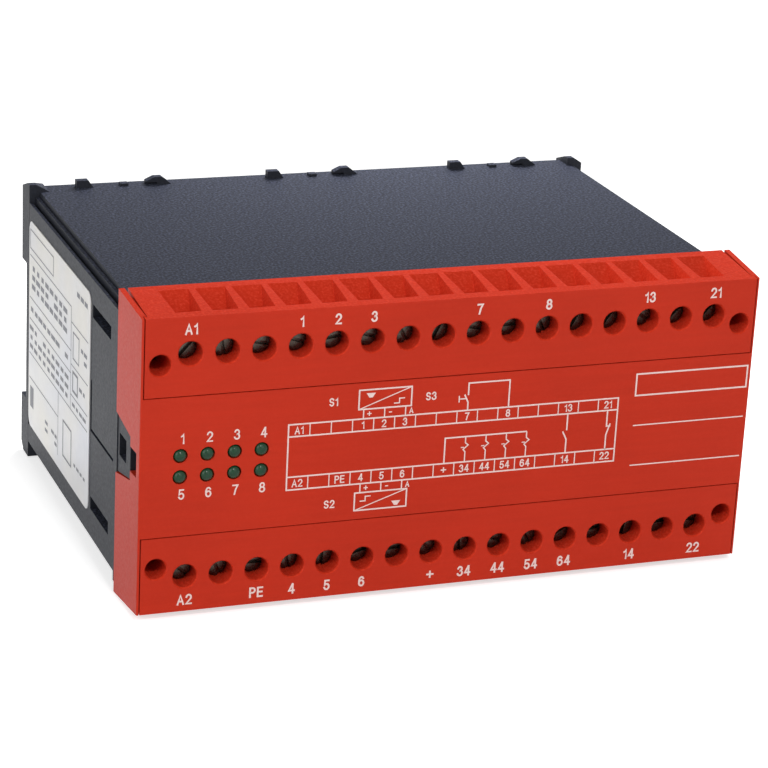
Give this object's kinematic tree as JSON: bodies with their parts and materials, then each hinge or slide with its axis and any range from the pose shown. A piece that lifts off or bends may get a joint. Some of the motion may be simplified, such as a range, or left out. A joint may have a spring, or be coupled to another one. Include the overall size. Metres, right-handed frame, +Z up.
{
  "type": "safety relay",
  "caption": "Rail-mounted safety relay: dark housing with a red hood in front, two rows of screw terminals with slanted wire entries, status lamps and a rail channel with sprung latches behind.",
  "frame": {"origin": "middle of the bounding box, on the surface the relay stands on", "axes": "+X to the right along the front, +Y from the red front to the rail side, +Z up"},
  "size_m": [0.15, 0.111, 0.073],
  "materials": {
    "red_plastic": "satin, moulded",
    "grey_plastic": "fine spark-eroded grain",
    "black_plastic": "satin, moulded",
    "zinc_steel": "zinc plated",
    "nickel_brass": "nickel plated",
    "tinned_brass": "tinned",
    "spring_steel": "bright",
    "circuit_board": "green solder mask",
    "relay_case": "smooth",
    "chip_case": "fine matt",
    "core_steel": "varnished laminations",
    "coil_wrap": "tape",
    "capacitor_sleeve": "shrink sleeve",
    "fuse_glass": "glazed",
    "label_paper": "coated",
    "lamp_lens": "tinted, unlit"
  },
  "bodies": {
    "relay": {"block_fixing_screws": "zinc_steel", "clamp_cages_lower": "nickel_brass", "clamp_cages_upper": "nickel_brass", "contact_pins_lower": "tinned_brass", "contact_pins_upper": "tinned_brass", "contact_relay_1": "relay_case", "contact_relay_2": "relay_case", "contact_relay_3": "relay_case", "contact_relay_4": "relay_case", "controller_chip_1": "chip_case", "controller_chip_2": "chip_case", "display_board": "circuit_board", "header_lower": "black_plastic", "header_upper": "black_plastic", "hood": "red_plastic", "housing": "grey_plastic", "latch_spring_left": "spring_steel", "latch_spring_middle": "spring_steel", "latch_spring_right": "spring_steel", "link_board": "circuit_board", "lower_board": "circuit_board", "mains_fuse": "fuse_glass", "rating_label": "label_paper", "side_plate_left": "grey_plastic", "side_plate_right": "grey_plastic", "smoothing_capacitor_1": "capacitor_sleeve", "smoothing_capacitor_2": "capacitor_sleeve", "status_lamp_1": "lamp_lens", "status_lamp_2": "lamp_lens", "status_lamp_3": "lamp_lens", "status_lamp_4": "lamp_lens", "status_lamp_5": "lamp_lens", "status_lamp_6": "lamp_lens", "status_lamp_7": "lamp_lens", "status_lamp_8": "lamp_lens", "terminal_block_lower": "red_plastic", "terminal_block_upper": "red_plastic", "terminal_screws_lower": "zinc_steel", "terminal_screws_upper": "zinc_steel", "transformer_core": "core_steel", "transformer_winding": "coil_wrap", "upper_board": "circuit_board"},
    "latch_left": {"rail_latch_left": "black_plastic"},
    "latch_middle": {"rail_latch_middle": "black_plastic"},
    "latch_right": {"rail_latch_right": "black_plastic"}
  },
  "joints": [
    {"name": "rail_latch_left_slide", "type": "slide", "parent": "relay", "child": "latch_left", "axis": [0, 0, -1], "range_m": [0, 0.003], "stiffness_N_per_m": 1500, "springref_m": -0.004, "deforming": ["latch_spring_left"]},
    {"name": "rail_latch_middle_slide", "type": "slide", "parent": "relay", "child": "latch_middle", "axis": [0, 0, -1], "range_m": [0, 0.003], "stiffness_N_per_m": 1500, "springref_m": -0.004, "deforming": ["latch_spring_middle"]},
    {"name": "rail_latch_right_slide", "type": "slide", "parent": "relay", "child": "latch_right", "axis": [0, 0, -1], "range_m": [0, 0.003], "stiffness_N_per_m": 1500, "springref_m": -0.004, "deforming": ["latch_spring_right"]}
  ]
}
